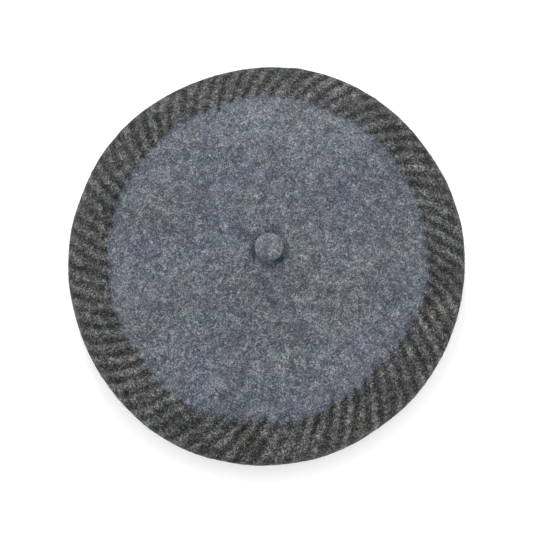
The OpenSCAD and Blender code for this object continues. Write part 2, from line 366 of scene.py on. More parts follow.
def felt_points(theta, s, inset=0.0, nap=1.0):
    """Points on the draped felt. inset is the depth below its outer surface."""
    theta, s = np.broadcast_arrays(theta, s)
    r, z, slope = meridian(cloth_line(theta, s))
    seat = around_axis(r, theta, z)

    away = smooth(r, 14 * MM, 45 * MM) * smooth(BAND_S - s, 2 * MM, 26 * MM)
    lift = away * MM * sum(size * ripple(seat, wave * MM, seed) for size, wave, seed in DENTS)
    lift += nap * 0.07 * MM * ripple(seat, 3.2 * MM, 14, waves=80)
    lift -= nap * 0.15 * MM * np.exp(-(((s - SEAM_S) / (1.6 * MM)) ** 2))

    dip = DIMPLE_DEPTH * (1 - smooth(r, DIMPLE_FLOOR_R, DIMPLE_R)) * (s < SEAM_S)
    pucker = smooth(r, DIMPLE_FLOOR_R, DIMPLE_R) * (1 - smooth(r, DIMPLE_R, PUCKER_R))
    lift += PUCKER_SIZE * pucker * (np.cos(5 * theta + 1.1) + 0.6 * np.cos(8 * theta + 0.4) - 0.5)
    lift -= crease_depth(theta, r)
    loose = smooth(r, 0.45 * beret_r, beret_r) * np.where(s > BOTTOM_S, smooth(BAND_S - s, 0, 45 * MM), 1)
    soft_edge = 1 - 0.7 * smooth(s, SEAM_S, EDGE_S) * (1 - smooth(s, BOTTOM_S, BOTTOM_S + 12 * MM))
    radial = r + (lift * soft_edge - inset) * np.sin(slope) + loose * wander(theta, OUTLINE)
    points = around_axis(radial, theta, z + (lift - inset) * np.cos(slope) - dip)
    points[..., :2] += loose[..., None] * OUTLINE_SHIFT
    return points if Settled.grid is None else points + Settled.at(theta, s)


def settle_shell(rows=58, columns=150, frames=24, most=SETTLE_MOST):
    """Lets the felt settle under its own weight and a little fullness, held by the headband and the button.

    The fulled felt keeps its height, so only a part of each ring's mean sag is kept, with all the dents.
    """
    s = np.linspace(STEM_HOLE_R, BAND_S, rows)[:, None]
    theta = turns(columns)[None, :]
    start = felt_points(theta, s, inset=FELT / 2, nap=0)
    cloth = add_mesh("settling_shell", start, grid_faces(rows, columns).tolist())
    held = cloth.vertex_groups.new(name="held")
    row_s = np.repeat(s, columns, axis=1).ravel()
    fixed = (row_s < DIMPLE_R) | (row_s > BAND_S - 5 * MM)
    held.add([int(i) for i in np.nonzero(fixed)[0]], 1.0, "REPLACE")
    settings = cloth.modifiers.new("cloth", "CLOTH").settings
    for key, value in CLOTH.items():
        setattr(settings, key, value)
    settings.effector_weights.gravity = SETTLE_GRAVITY
    scene = bpy.context.scene
    for frame_number in range(1, frames + 1):
        scene.frame_set(frame_number)
    shape = cloth.evaluated_get(bpy.context.evaluated_depsgraph_get()).data
    moved = np.zeros(len(shape.vertices) * 3)
    shape.vertices.foreach_get("co", moved)
    scene.frame_set(1)
    bpy.data.objects.remove(cloth)
    move = moved.reshape(start.shape) - start
    outward = around_axis(1.0, theta[0], 0.0)[:, :2]
    mean_out = np.sum(move[..., :2] * outward, axis=-1).mean(axis=1)
    move[..., :2] -= SETTLE_KEEP * mean_out[:, None, None] * outward
    move[..., 2] -= SETTLE_KEEP * move[..., 2].mean(axis=1, keepdims=True)
    size = np.linalg.norm(move, axis=2, keepdims=True)
    move *= most * np.tanh(size / most) / np.maximum(size, 1e-9)
    Settled.grid = move


def felt_sheet(name, s_from, s_to, step, inner_step, columns):
    """A closed piece of felt between two distances along the meridian."""
    theta = turns(columns)[None, :]
    outer_s = np.linspace(s_from, s_to, int((s_to - s_from) / step) + 2)
    inner_s = np.linspace(s_to, s_from, int((s_to - s_from) / inner_step) + 2)
    outer = felt_points(theta, outer_s[:, None])
    inner = felt_points(theta, inner_s[:, None], inset=FELT, nap=0.6)
    return closed_ring(name, np.concatenate([outer, inner]), np.concatenate([outer_s, inner_s]) * UV_SCALE)


def fibres(name, count, s_from, s_to, seed, length=(2.0, 6.0), rise=(0.02, 0.35), width=0.055):
    """Loose wool fibres, each a thin three-sided strand with its root in the felt. Sizes in mm."""
    rng = np.random.default_rng(seed)
    area = np.linspace(s_from, s_to, 400)
    weight = meridian(area)[0]
    s = rng.choice(area, count, p=weight / weight.sum()) + rng.uniform(-0.3, 0.3, count) * MM
    theta = rng.uniform(0, TURN, count)
    step = 0.3 * MM
    root = felt_points(theta, s)
    along = felt_points(theta, s + step, nap=0) - felt_points(theta, s - step, nap=0)
    along /= np.linalg.norm(along, axis=1)[:, None]
    around = np.stack([-np.sin(theta), np.cos(theta), np.zeros(count)], axis=-1)
    normal = np.cross(along, around)
    heading = rng.uniform(0, TURN, count)
    curl = rng.normal(0, 1.5, count)
    stride = rng.uniform(*length, count) * MM / 4
    high = rng.uniform(*rise, count) * MM
    centres = np.zeros((count, 5, 3))
    here = root - normal * 0.12 * MM
    for k in range(5):
        centres[:, k] = here + normal * (high * math.sin(math.pi * (0.1 + 0.18 * k)))[:, None]
        angle = (heading + curl * k / 4)[:, None]
        here = here + (along * np.cos(angle) + around * np.sin(angle)) * stride[:, None]
    taper = np.array([1.0, 1.0, 0.9, 0.7, 0.4]) * width * MM
    return strands(name, centres, normal[:, None, :], taper, 3)


# ---- Materials ----
class Nodes:
    """A short way to write a material's node tree."""

    def __init__(self, name):
        self.material = bpy.data.materials.new(name)
        self.material.use_nodes = True
        self.tree = self.material.node_tree
        self.shader = self.tree.nodes["Principled BSDF"]
        self.coordinates = self.tree.nodes.new("ShaderNodeTexCoord")

    def put(self, socket, value):
        if hasattr(value, "links"):
            self.tree.links.new(value, socket)
        elif value is not None:
            socket.default_value = value

    def make(self, kind, inputs, **settings):
        """A new node. Each input is a value, or another node's output."""
        node = self.tree.nodes.new("ShaderNode" + kind)
        for name, value in settings.items():
            setattr(node, name, value)
        for key, value in inputs.items():
            self.put(node.inputs[key], value)
        return node

    def vector(self, scale, turn=(0, 0, 0), source=None):
        """Object coordinates, scaled. A scale of 1000 makes them millimetres."""
        scale = scale if hasattr(scale, "__len__") else (scale,) * 3
        turn = [math.radians(a) for a in turn]
        source = source or self.coordinates.outputs["Object"]
        return self.make("Mapping", {"Vector": source, "Scale": scale, "Rotation": turn}).outputs[0]

    def parts(self, kind):
        """The three numbers of a texture coordinate, such as UV or Object."""
        return list(self.make("SeparateXYZ", {0: self.coordinates.outputs[kind]}).outputs)

    def noise(self, scale, detail=3.0, roughness=0.6, distortion=0.0, vector=None):
        """Noise over a vector, or over millimetres where none is given."""
        inputs = {"Vector": vector or self.vector(1000), "Scale": scale, "Detail": detail}
        inputs |= {"Roughness": roughness, "Distortion": distortion}
        return self.make("TexNoise", inputs).outputs[0]

    def math(self, operation, *values, clamp=False):
        return self.make("Math", dict(enumerate(values)), operation=operation, use_clamp=clamp).outputs[0]

    def times(self, value, size, plus=0.0):
        return self.math("MULTIPLY_ADD", value, size, plus)

    def layer(self, level, value, size, middle=0.5):
        """level, plus size times what value has over its middle."""
        return self.times(self.math("SUBTRACT", value, middle), size, level)

    def remap(self, value, low, high, to_low=0.0, to_high=1.0):
        inputs = {"Value": value, "From Min": low, "From Max": high, "To Min": to_low, "To Max": to_high}
        return self.make("MapRange", inputs, interpolation_type="SMOOTHSTEP").outputs[0]

    def mix(self, share, a, b, blend="MIX"):
        node = self.make("Mix", {"Factor": share}, data_type="RGBA", blend_type=blend)
        for key, value in (("A", a), ("B", b)):
            self.put(next(i for i in node.inputs if i.name == key and i.type == "RGBA"), value)
        return next(o for o in node.outputs if o.type == "RGBA")

    def tint(self, colour, factor):
        return self.mix(1.0, colour, factor, "MULTIPLY")

    def ramp(self, value, *stops, light=1.0):
        """A colour ramp. Each stop is its place, then an sRGB colour from 0 to 255, which light scales."""
        node = self.make("ValToRGB", {"Fac": value})
        elements = node.color_ramp.elements
        while len(elements) < len(stops):
            elements.new(0.5)
        for element, (at, *colour) in zip(elements, stops):
            element.position = at
            element.color = srgb(*colour, light)
        return node.outputs["Color"]

    def bump(self, height, distance, strength):
        node = self.make("Bump", {"Height": height, "Distance": distance, "Strength": strength})
        self.put(self.shader.inputs["Normal"], node.outputs["Normal"])

    def surface(self, colour, roughness, specular=0.2, sheen=0.0, sheen_roughness=0.5, metallic=0.0):
        looks = {"Base Color": colour, "Roughness": roughness, "Specular IOR Level": specular}
        looks |= {"Sheen Weight": sheen, "Sheen Roughness": sheen_roughness, "Metallic": metallic}
        looks["Sheen Tint"] = (0.8, 0.85, 0.95, 1)
        for key, value in looks.items():
            self.put(self.shader.inputs[key], value)
        return self.material


def srgb(r, g, b, scale=1.0):
    """An sRGB colour, from 0 to 255, as a linear RGBA colour."""
    def linear(v):
        v = v / 255
        return v / 12.92 if v <= 0.04045 else ((v + 0.055) / 1.055) ** 2.4
    return (linear(r) * scale, linear(g) * scale, linear(b) * scale, 1)


def felt_grain(n):
    """Matted wool as a level of about 0.5: curved strands in all directions, over soft clouds."""
    drift = n.make("TexNoise", {"Vector": n.vector(1000), "Scale": 0.25, "Detail": 1.0}).outputs["Color"]
    warp = n.make("VectorMath", {0: drift, 1: (4.0, 4.0, 4.0), 2: n.vector(1000)}, operation="MULTIPLY_ADD")
    brightest = None
    for turn, stretch in ((10, 0.40), (55, 0.45), (100, 0.38), (145, 0.43)):
        along = n.vector((stretch, 1.0, 0.7), source=n.vector(1, (0, 0, turn), warp.outputs[0]))
        wool = n.noise(STRAND_SCALE, roughness=0.65, vector=along)
        brightest = wool if brightest is None else n.math("MAXIMUM", brightest, wool)
    level = n.layer(0.5, brightest, 3.2, middle=0.60)
    level = n.layer(level, n.noise(1.35, detail=2.0), 1.35)
    level = n.layer(level, n.noise(0.16, detail=1.0, roughness=0.5), 0.60)
    return n.layer(level, n.noise(0.016, detail=2.0), 0.29)


def dyed(n, colour, clouds, low, high, turn=(35, 20, 10)):
    """Multiplies a colour by a tint that drifts between two, over clouds of several sizes."""
    level = 0.5
    for scale, share in clouds:
        level = n.layer(level, n.noise(scale, detail=1.5, vector=n.vector(1000, turn)), share)
    return n.tint(colour, n.mix(level, low, high))


def heather_colour(n, grain):
    """The crown's blue-grey heather. Its tint drifts between violet and teal, and between blue and tan."""
    colour = n.ramp(
        grain, (0.14, 62, 66, 74), (0.34, 84, 89, 97), (0.50, 107, 111, 119), (0.66, 132, 136, 142),
        (0.88, 168, 170, 173), light=LIGHT,
    )
    for scale, low, high in ((0.035, 0.42, 0.58), (0.28, 0.38, 0.62)):
        hue = n.remap(n.noise(scale, detail=1.0), low, high)
        colour = n.tint(colour, n.mix(hue, (1.01, 0.985, 1.02, 1), (0.975, 1.005, 0.98, 1)))
    blue, tan = (0.885, 1.02, 1.165, 1), (1.145, 1.02, 0.90, 1)
    return dyed(n, colour, ((0.018, 0.50), (0.075, 0.55), (0.33, 0.75)), blue, tan)


def striped_colour(n, grain, around, along):
    """Charcoal and grey stripes that lean round the hat, their edges blurred by the fulling."""
    lean = n.times(along, STRIPES * STRIPE_LEAN * UV_MM / 360)
    phase = n.times(around, float(STRIPES), lean)
    for scale, size in ((0.05, 0.42), (0.22, 0.28), (0.7, 0.48)):
        phase = n.layer(phase, n.noise(scale, detail=2.0), size)
    strength = n.remap(n.noise(0.035, detail=2.0), 0.34, 0.6, 0.45, 1.0)
    wave = n.times(n.math("SINE", n.times(phase, TURN)), strength)
    dark = n.ramp(grain, (0.16, 13, 14, 12), (0.50, 42, 43, 41), (0.86, 115, 115, 111), light=LIGHT)
    pale = n.ramp(grain, (0.16, 38, 39, 38), (0.50, 87, 87, 87), (0.86, 158, 158, 158), light=LIGHT)
    colour = n.mix(n.remap(wave, -0.8, 0.8), dark, pale)
    blue, tan = (0.78, 1.0, 1.22, 1), (1.22, 1.0, 0.78, 1)
    colour = dyed(n, colour, ((0.06, 0.25), (0.13, 0.6), (0.35, 0.75), (0.9, 0.7)), blue, tan)
    violet, green = (1.09, 0.91, 1.09, 1), (0.91, 1.09, 0.91, 1)
    colour = dyed(n, colour, ((0.12, 0.9), (0.45, 1.0)), violet, green, (70, 40, 25))
    dull, bright = (0.62, 0.62, 0.62, 1), (1.38, 1.38, 1.38, 1)
    return dyed(n, colour, ((0.05, 2.0),), dull, bright, (15, 65, 50)), wave


def painted_fold_shades(n, around, from_apex):
    """Painted shade: how dark the crown is painted in the folds pushed in beside the button, and along its
    longest crease, where shade falls.
    """
    two = n.math("COSINE", n.times(around, 2 * TURN, math.radians(40)))
    three = n.math("COSINE", n.times(around, 3 * TURN, math.radians(135)))
    fold_shade_by_direction = n.math("MULTIPLY_ADD", two, 0.45, n.times(three, 0.25, 0.5), clamp=True)
    painted_fold_shade = n.times(fold_shade_by_direction, n.remap(from_apex, 11.0, 15.5, 1.0, 0.0))
    aside = n.math("ABSOLUTE", n.math("SUBTRACT", around, CREASES[0][0] / 360))
    length = n.times(n.remap(from_apex, 12.0, 15.0), n.remap(from_apex, 18.0, 28.0, 1.0, 0.0))
    return painted_fold_shade, n.times(n.remap(aside, 0.0, 0.07, 0.45, 0.0), length)


def felt_surface(n, grain, colour, bump=0.8, sheen=0.08):
    n.bump(grain, FELT_BUMP, bump)
    return n.surface(colour, 0.95, specular=0.12, sheen=sheen, sheen_roughness=0.6)


def shell_felt_material():
    """The felt of the whole shell. The UV map says how far along the cloth a point lies."""
    n = Nodes("heather_and_striped_felt")
    grain = felt_grain(n)
    around, along = n.parts("UV")[:2]
    stripes, wave = striped_colour(n, grain, around, along)
    heather = heather_colour(n, grain)
    past_seam = n.times(n.math("SUBTRACT", along, float(SEAM_S * UV_SCALE)), UV_MM)
    # Painted shade: the crown is painted darker and bluer over its last 9 mm before the seam with the rim.
    shade = n.times(n.remap(past_seam, -9.0, 0.0), 0.55)
    heather = n.mix(shade, heather, n.tint(heather, (0.70, 0.72, 0.82, 1)))
    # Painted shade: the folds beside the button and its longest crease are painted dark navy.
    for shade in painted_fold_shades(n, around, n.times(along, UV_MM)):
        heather = n.mix(shade, heather, n.tint(heather, (0.42, 0.44, 0.52, 1)))
    edge = n.layer(past_seam, n.noise(0.3), 9.0)
    edge = n.times(wave, -2.0, edge)
    return felt_surface(n, grain, n.mix(n.remap(edge, -3.4, 1.4), heather, stripes))


def button_felt_material():
    """The same heather, stretched over the button, with painted light: its top painted paler and its lower
    sides painted darker.
    """
    n = Nodes("button_heather")
    grain = n.times(felt_grain(n), 0.8, 0.09)
    low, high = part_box("button_cover")
    top = n.remap(n.parts("Object")[2], low.z + 1 * MM, high.z - 1 * MM)
    # Painted light: the colour is painted lighter up the dome and darker down its sides.
    painted_top_light = n.mix(top, (0.74, 0.72, 0.71, 1), (1.31, 1.26, 1.20, 1))
    return felt_surface(n, grain, n.tint(heather_colour(n, grain), painted_top_light), bump=0.9)


def plain_felt_material(name, dark, mid, pale, light):
    n = Nodes(name)
    grain = felt_grain(n)
    colour = n.ramp(grain, (0.2, *dark), (0.5, *mid), (0.8, *pale), light=light)
    return felt_surface(n, grain, colour, sheen=0.1)


def yarn_material(name, dark, light, pitch):
    """Twisted thread: fine slanted plies and a little fuzz. pitch is in mm."""
    n = Nodes(name)
    slant, scale = n.vector(1000, (20, 35, 40)), 1 / (3.2 * pitch)
    ply = n.make("TexWave", {"Vector": slant, "Scale": scale, "Distortion": 1.5, "Detail": 2.0})
    level = n.times(ply.outputs["Fac"], 0.55, n.times(n.noise(3.0), 0.5))
    n.bump(level, 0.08 * MM, 0.7)
    return n.surface(n.ramp(level, (0.25, *dark), (0.75, *light)), 0.8, specular=0.25, sheen=0.15)


def grosgrain_material():
    n = Nodes("grosgrain")
    rib = n.math("COSINE", n.times(n.parts("UV")[0], RIBBON_RIBS * TURN))
    threads = n.noise(2.4, vector=n.vector((1000, 1000, 250)))
    worn = n.times(n.noise(0.06, detail=2.0), 0.3)
    level = n.times(rib, 0.20, n.times(threads, 0.5, worn))
    n.bump(level, 0.1 * MM, 0.6)
    colour = n.ramp(level, (0.15, 20, 21, 24), (0.5, 42, 44, 49), (0.85, 74, 77, 84))
    return n.surface(colour, 0.55, specular=0.35, sheen=0.2)


def woven_label_material():
    """Plain weave with a thin border woven into it, and nothing written on it."""
    n = Nodes("woven_label")
    across, up = n.parts("UV")[:2]
    warp = n.math("SINE", n.times(across, LABEL_WARP * TURN))
    weft = n.math("SINE", n.times(up, LABEL_WEFT * TURN))
    cloth = n.times(n.times(warp, weft), 0.5, 0.5)
    to_side = n.math("SUBTRACT", 0.445, n.math("ABSOLUTE", n.math("SUBTRACT", across, 0.5)))
    to_edge = n.math("SUBTRACT", 0.39, n.math("ABSOLUTE", n.math("SUBTRACT", up, 0.5)))
    inner = n.math("MINIMUM", to_side, n.times(to_edge, LABEL_SHAPE))
    border = n.times(n.remap(inner, -0.004, 0.002), n.remap(inner, 0.014, 0.008))
    level = n.times(cloth, 0.45, n.times(n.noise(0.9), 0.55))
    ground = n.ramp(level, (0.2, 168, 163, 148), (0.8, 222, 217, 204))
    colour = n.mix(border, ground, n.ramp(level, (0.2, 58, 62, 70), (0.8, 96, 101, 110)))
    n.bump(level, 0.08 * MM, 0.8)
    return n.surface(colour, 0.6, specular=0.3, sheen=0.15)


def satin_material():
    n = Nodes("label_satin")
    threads = n.noise(4.0, detail=2.0, vector=n.vector((1000, 90, 1000)))
    soft = n.noise(0.12, detail=2.0)
    level = n.times(threads, 0.6, n.times(soft, 0.4))
    n.bump(threads, 0.03 * MM, 0.5)
    colour = n.ramp(level, (0.3, 216, 214, 206), (0.7, 240, 238, 232))
    return n.surface(colour, n.times(soft, 0.15, 0.30), specular=0.5)


def elastic_material():
    n = Nodes("elastic_web")
    cord = n.noise(1.0, detail=2.0, vector=n.vector((300, 300, 1400)))
    level = n.times(cord, 0.5, n.times(n.noise(1.8, detail=2.0), 0.5))
    n.bump(level, 0.12 * MM, 0.8)
    colour = n.ramp(level, (0.3, 190, 187, 178), (0.7, 236, 233, 226))
    return n.surface(colour, 0.75, specular=0.3)


def metal_material(name, colour, roughness):
    n = Nodes(name)
    smudge = n.noise(0.25)
    dull = tuple(0.8 * c for c in colour[:3]) + (1,)
    n.bump(n.noise(0.9, detail=4.0, vector=n.vector((500, 500, 5000))), 0.02 * MM, 0.5)
    rough = n.remap(smudge, 0.3, 0.7, roughness - 0.08, roughness + 0.12)
    return n.surface(n.mix(smudge, colour, dull), rough, specular=0.5, metallic=1.0)


def plastic_material():
    n = Nodes("button_plastic")
    swirl = n.noise(0.3, distortion=1.2)
    scratches = n.noise(0.8, vector=n.vector((4000, 500, 1000), (0, 0, 30)))
    n.bump(scratches, 0.02 * MM, 0.4)
    colour = n.ramp(swirl, (0.35, 38, 40, 43), (0.65, 58, 61, 66))
    return n.surface(colour, n.remap(scratches, 0.3, 0.7, 0.28, 0.42), specular=0.5)


def fibre_material(name, low, high):
    n = Nodes(name)
    colour = n.ramp(n.noise(0.35, detail=2.0), (0.38, *low), (0.62, *high), light=LIGHT)
    return n.surface(colour, 0.8, specular=0.3, sheen=0.2)


# ---- The camera, the light and the floor ----
def set_camera():
    data = bpy.data.cameras.new("camera")
    data.lens = CAMERA_LENS
    data.sensor_width = 36
    camera = link("camera", data)
    back = (0, -math.sin(CAMERA_TILT), math.cos(CAMERA_TILT))
    camera.location = [a + CAMERA_DISTANCE * b for a, b in zip(CAMERA_AIM, back)]
    camera.rotation_euler = (CAMERA_TILT, 0, 0)
    bpy.context.scene.camera = camera


def add_key_light():
    data = bpy.data.lights.new("key", "AREA")
    data.shape = "DISK"
    data.size = KEY_SIZE
    data.energy = KEY_POWER
    light = link("key", data)
    light.location = KEY_PLACE
    x, y, z = np.subtract(KEY_PLACE, KEY_AIM)
    light.rotation_euler = (math.atan2(math.hypot(x, y), z), 0, math.atan2(x, -y))


def set_studio():
    signs = ((-1, -1), (1, -1), (1, 1), (-1, 1))
    floor = add_mesh("studio_floor", [(x * PAPER_HALF, y * PAPER_HALF, 0) for x, y in signs], [[0, 1, 2, 3]])
    n = Nodes("white_paper")
    n.shader.inputs["Emission Color"].default_value = (1, 1, 1, 1)
    n.shader.inputs["Emission Strength"].default_value = PAPER_GLOW
    grain = n.noise(900, detail=2.0, vector=n.vector(1))
    colour = n.mix(grain, (0.93, 0.93, 0.93, 1), (0.97, 0.97, 0.97, 1))
    floor.data.materials.append(n.surface(colour, 0.9, specular=0.1))
    world = bpy.data.worlds.new("studio")
    world.use_nodes = True
    background = world.node_tree.nodes["Background"]
    background.inputs["Color"].default_value = (1, 1, 1, 1)
    background.inputs["Strength"].default_value = SKY_STRENGTH
    bpy.context.scene.world = world
    add_key_light()
    bpy.context.scene.view_settings.view_transform = "Standard"


# ---- The shell and its seams ----
def build_shell():
    """Crown, rim and underside as three closed pieces of felt, with loose wool over them."""
    shell_felt = shell_felt_material()
    crown = felt_sheet("crown_felt", STEM_HOLE_R, SEAM_S - JOIN_GAP, 1.05 * MM, 5 * MM, 520)
    finish_piece(crown, "hat", "crown_felt", shell_felt, "crown_top")
    rim = felt_sheet("rim_felt", SEAM_S + JOIN_GAP, BOTTOM_S - JOIN_GAP, 1.1 * MM, 3 * MM, 680)
    finish_piece(rim, "hat", "rim_felt", shell_felt, "rim_upper")
    under = felt_sheet("under_felt", BOTTOM_S + JOIN_GAP, BAND_S - 0.2 * MM, 1.3 * MM, 5 * MM, 560)
    finish_piece(under, "hat", "rim_felt", shell_felt, "rim_under")
    light = fibre_material("pale_wool", (92, 96, 104), (160, 163, 168))
    grey = fibre_material("grey_wool", (52, 53, 53), (132, 132, 132))
    finish_piece(fibres("crown_nap", 5200, 14 * MM, SEAM_S + 2 * MM, 21), "hat", "crown_felt", light)
    finish_piece(fibres("rim_nap", 4200, SEAM_S, BOTTOM_S, 22), "hat", "rim_felt", grey)
    finish_piece(fibres("under_nap", 1800, BOTTOM_S, BAND_S - 6 * MM, 23), "hat", "rim_felt", grey)


def rope_on(name, at, plies, offset, ply_r, twists, knots, sides=6):
    """A closed twisted cord. at(t) gives its centre line and two normals, for t from 0 to 1."""
    t = np.arange(knots) / knots
    centre, first, second = at(t)
    turn = TURN * (twists * t[None, :] + np.arange(plies)[:, None] / plies)
    centres = centre + offset * (np.cos(turn)[..., None] * first + np.sin(turn)[..., None] * second)
    return strands(name, centres, np.broadcast_to(first, centres.shape), ply_r, sides, closed=True)


def seam_line(s, inset):
    """The line of a yarn that lies inside the shell, along the cloth at s."""
    def at(t):
        theta = TURN * t
        centre = felt_points(theta, np.full(t.shape, s), inset=inset, nap=0)
        out = around_axis(1.0, theta, 0.0)
        return centre, out, np.broadcast_to((0.0, 0.0, 1.0), out.shape)
    return at


def build_seams():
    """Two-ply linking yarn along the three seams, inside the shell."""
    yarn = yarn_material("linking_yarn", (60, 63, 69), (104, 107, 113), 1.1)
    for node, s, gap in (
        ("crown_seam", SEAM_S, 0.05 * MM),
        ("edge_seam", BOTTOM_S, 0.05 * MM),
        ("band_seam", BAND_S - YARN_R - 0.1 * MM, 0.25 * MM),
    ):
        twists = round(TURN * float(meridian(s)[0]) / YARN_PITCH)
        line = seam_line(s, FELT + YARN_R + gap)
        rope = rope_on(node + "_yarn", line, 2, YARN_R * 0.48, YARN_R * 0.5, twists, twists * 10)
        finish_piece(rope, "hat", "seam_yarn", yarn, node)


# ---- The headband, the sweatband and their stitches ----
def profile_ring(name, profile, columns, swell):
    """A closed ring of cloth from a closed profile of (radius, height) points. swell moves its radius."""
    theta = turns(columns)
    profile = np.asarray(profile, float)
    r, z = profile[:, :1], profile[:, 1:]
    points = around_axis(r + swell(theta[None, :], r, z), theta, z)
    run = np.linalg.norm(np.diff(profile, axis=0, prepend=profile[:1]), axis=1)
    return closed_ring(name, points, np.cumsum(run) * UV_SCALE)


def between(start, end, step):
    """Points from start to end about a step apart, without the last."""
    start, end = np.asarray(start, float), np.asarray(end, float)
    count = max(1, round(float(np.linalg.norm(end - start)) / step))
    return [start + (end - start) * i / count for i in range(count)]


def corner(r, z, radius, start, end, count):
    """Points round an arc in the profile plane. The angles are in degrees, from outwards to up."""
    angle = np.radians(np.linspace(start, end, count))
    return list(np.stack([r + radius * np.cos(angle), z + radius * np.sin(angle)], axis=-1))


def build_headband():
    """The felt band, folded double round the elastic at its lower edge."""
    hem_z = middle_of("hem_stitches")[2]
    fold = BAND_FOLD_R
    ply_in = band_r - BAND_T
    inner_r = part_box("sweatband")[1].x + 0.03 * MM
    inner_out = inner_r + BAND_T
    profile = (
        between((band_r, band_top - 0.3 * MM), (band_r, fold), 1 * MM)
        + corner(band_r - fold, fold, fold, 0, -90, 6)
        + corner(inner_r + fold, fold, fold, -90, -180, 6)
        + between((inner_r, fold + 0.3 * MM), (inner_r, HEM_H), 1.2 * MM)
        + between((inner_r, HEM_H), (inner_out, HEM_H), 0.8 * MM)
        + between((inner_out, HEM_H), (inner_out, fold), 2 * MM)
        + between((inner_out, fold), (ply_in, fold), 0.6 * MM)
        + between((ply_in, fold), (ply_in, band_top), 2 * MM)
        + between((ply_in, band_top), (band_r, band_top), 0.8 * MM)
    )

    def swell(theta, r, z):
        """Soft dents on the outer face, and a groove where the hem's stitches pull it in."""
        outer = smooth(r, band_r - 0.6 * MM, band_r - 0.1 * MM)
        place = around_axis(r, theta, z)
        pulled = np.exp(-(((z - hem_z) / (0.9 * MM)) ** 2)) * (0.7 + 0.3 * np.cos(theta * HEM_STITCHES))
        wave = 0.16 * ripple(place, 14 * MM, 31, waves=30) + 0.06 * ripple(place, 3.4 * MM, 32, waves=50)
        return outer * (wave - 0.55 * pulled) * MM

    charcoal = plain_felt_material("charcoal_felt", (30, 31, 30), (66, 67, 66), (120, 120, 118), LIGHT)
    band = profile_ring("band_felt", profile, 560, swell)
    finish_piece(band, "hat", "band_felt", charcoal, "headband")


def build_sweatband():
    """The ribbed grosgrain ribbon inside the band. Returns the radius of its inner face."""
    low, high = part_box("sweatband")
    inner = high.x - RIBBON_T
    rounded = high.x - 0.12 * MM
    rows = np.linspace(low.z + 0.15 * MM, high.z - 0.15 * MM, 12)
    profile = [(inner, z) for z in rows] + [(rounded, high.z)]
    profile += [(high.x, z) for z in rows[::-1]] + [(rounded, low.z)]

    def ribbed(theta, r, z):
        edge = smooth(z, low.z, low.z + 1 * MM) * smooth(-z, -high.z, -high.z + 1 * MM)
        face = smooth(-r, -(inner + 0.2 * MM), -inner)
        return -face * (0.11 + 0.11 * edge * np.cos(theta * RIBBON_RIBS)) * MM

    ribbon = profile_ring("sweatband_ribbon", profile, RIBBON_RIBS * 4, ribbed)
    finish_piece(ribbon, "hat", "ribbon", grosgrain_material(), "sweatband")
    return inner


def stitch_row(name, count, r, node, length, inward, material):
    """Running stitches round the axis, in place of node. Both ends of each dip into the cloth, by inward."""
    t = np.linspace(-1, 1, 9)
    theta = turns(count)[:, None] + t * length / 2 / r
    centres = around_axis(r - smooth(np.abs(t), 0.6, 1.0) * inward, theta, middle_of(node)[2])
    row = strands(name, centres, around_axis(1.0, theta, 0.0), THREAD_R, 8)
    finish_piece(row, "hat", "dark_thread", material, node)


# ---- The labels ----
def slab(name, front, back):
    """A closed slab from two grids of points, whose UV map is the grid."""
    rows, columns = front.shape[:2]
    count = rows * columns
    faces = []
    for i in range(rows - 1):
        for j in range(columns - 1):
            a = i * columns + j
            faces.append([a, a + 1, a + columns + 1, a + columns])
            faces.append([count + a, count + a + columns, count + a + columns + 1, count + a + 1])
    edge = list(range(columns))
    edge += [i * columns + columns - 1 for i in range(1, rows)]
    edge += [(rows - 1) * columns + j for j in range(columns - 2, -1, -1)]
    edge += [i * columns for i in range(rows - 2, 0, -1)]
    faces += [[b, a, count + a, count + b] for a, b in zip(edge, edge[1:] + edge[:1])]
    i, j = np.divmod(np.array(faces).ravel() % count, columns)
    uvs = np.stack([j / (columns - 1), i / (rows - 1)], axis=-1)
    return add_mesh(name, np.concatenate([front.reshape(-1, 3), back.reshape(-1, 3)]), faces, uvs)


def build_main_label(pale):
    """The blank woven label at the back of the head, and the stitches at its two ends."""
    low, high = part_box("main_label")
    outer_r = high.y
    half = math.asin(high.x / outer_r)
    t, v = np.linspace(-1, 1, 93), np.linspace(0, 1, 31)[:, None]
    end = smooth(np.abs(t), 0.90, 0.94)
    belly = (1 - t ** 6) * (1 - (2 * v - 1) ** 6)
    angle = math.pi / 2 - half * t
    height = low.z + (high.z - low.z) * v + 0.06 * MM * np.sin(t * 9)
    front = around_axis(outer_r - (0.22 + 0.10 * belly + 0.10 * end) * MM, angle, height)
    back = around_axis(outer_r - 0.01 * MM, angle, height)
    label = slab("woven_label", front, back)
    finish_piece(label, "hat", "label_weave", woven_label_material(), "main_label")

    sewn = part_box("main_label_stitches")[1]
    end_angle = math.asin((sewn.x - THREAD_R) / (sewn.y - THREAD_R))
    pitch = (high.z - low.z) / LABEL_STITCHES
    k = np.linspace(-1, 1, 9)
    angle = (math.pi / 2 + end_angle * np.repeat([1, -1], LABEL_STITCHES))[:, None] + 0 * k
    middle = np.tile(low.z + pitch * (np.arange(LABEL_STITCHES) + 0.5), 2)[:, None]
    r = outer_r - 0.60 * MM + smooth(np.abs(k), 0.55, 1.0) * 0.45 * MM
    centres = around_axis(r, angle, middle + k * pitch * 0.34)
    thread = strands("label_thread", centres, around_axis(1.0, angle, 0.0), THREAD_R, 8)
    finish_piece(thread, "hat", "light_thread", pale, "main_label_stitches")


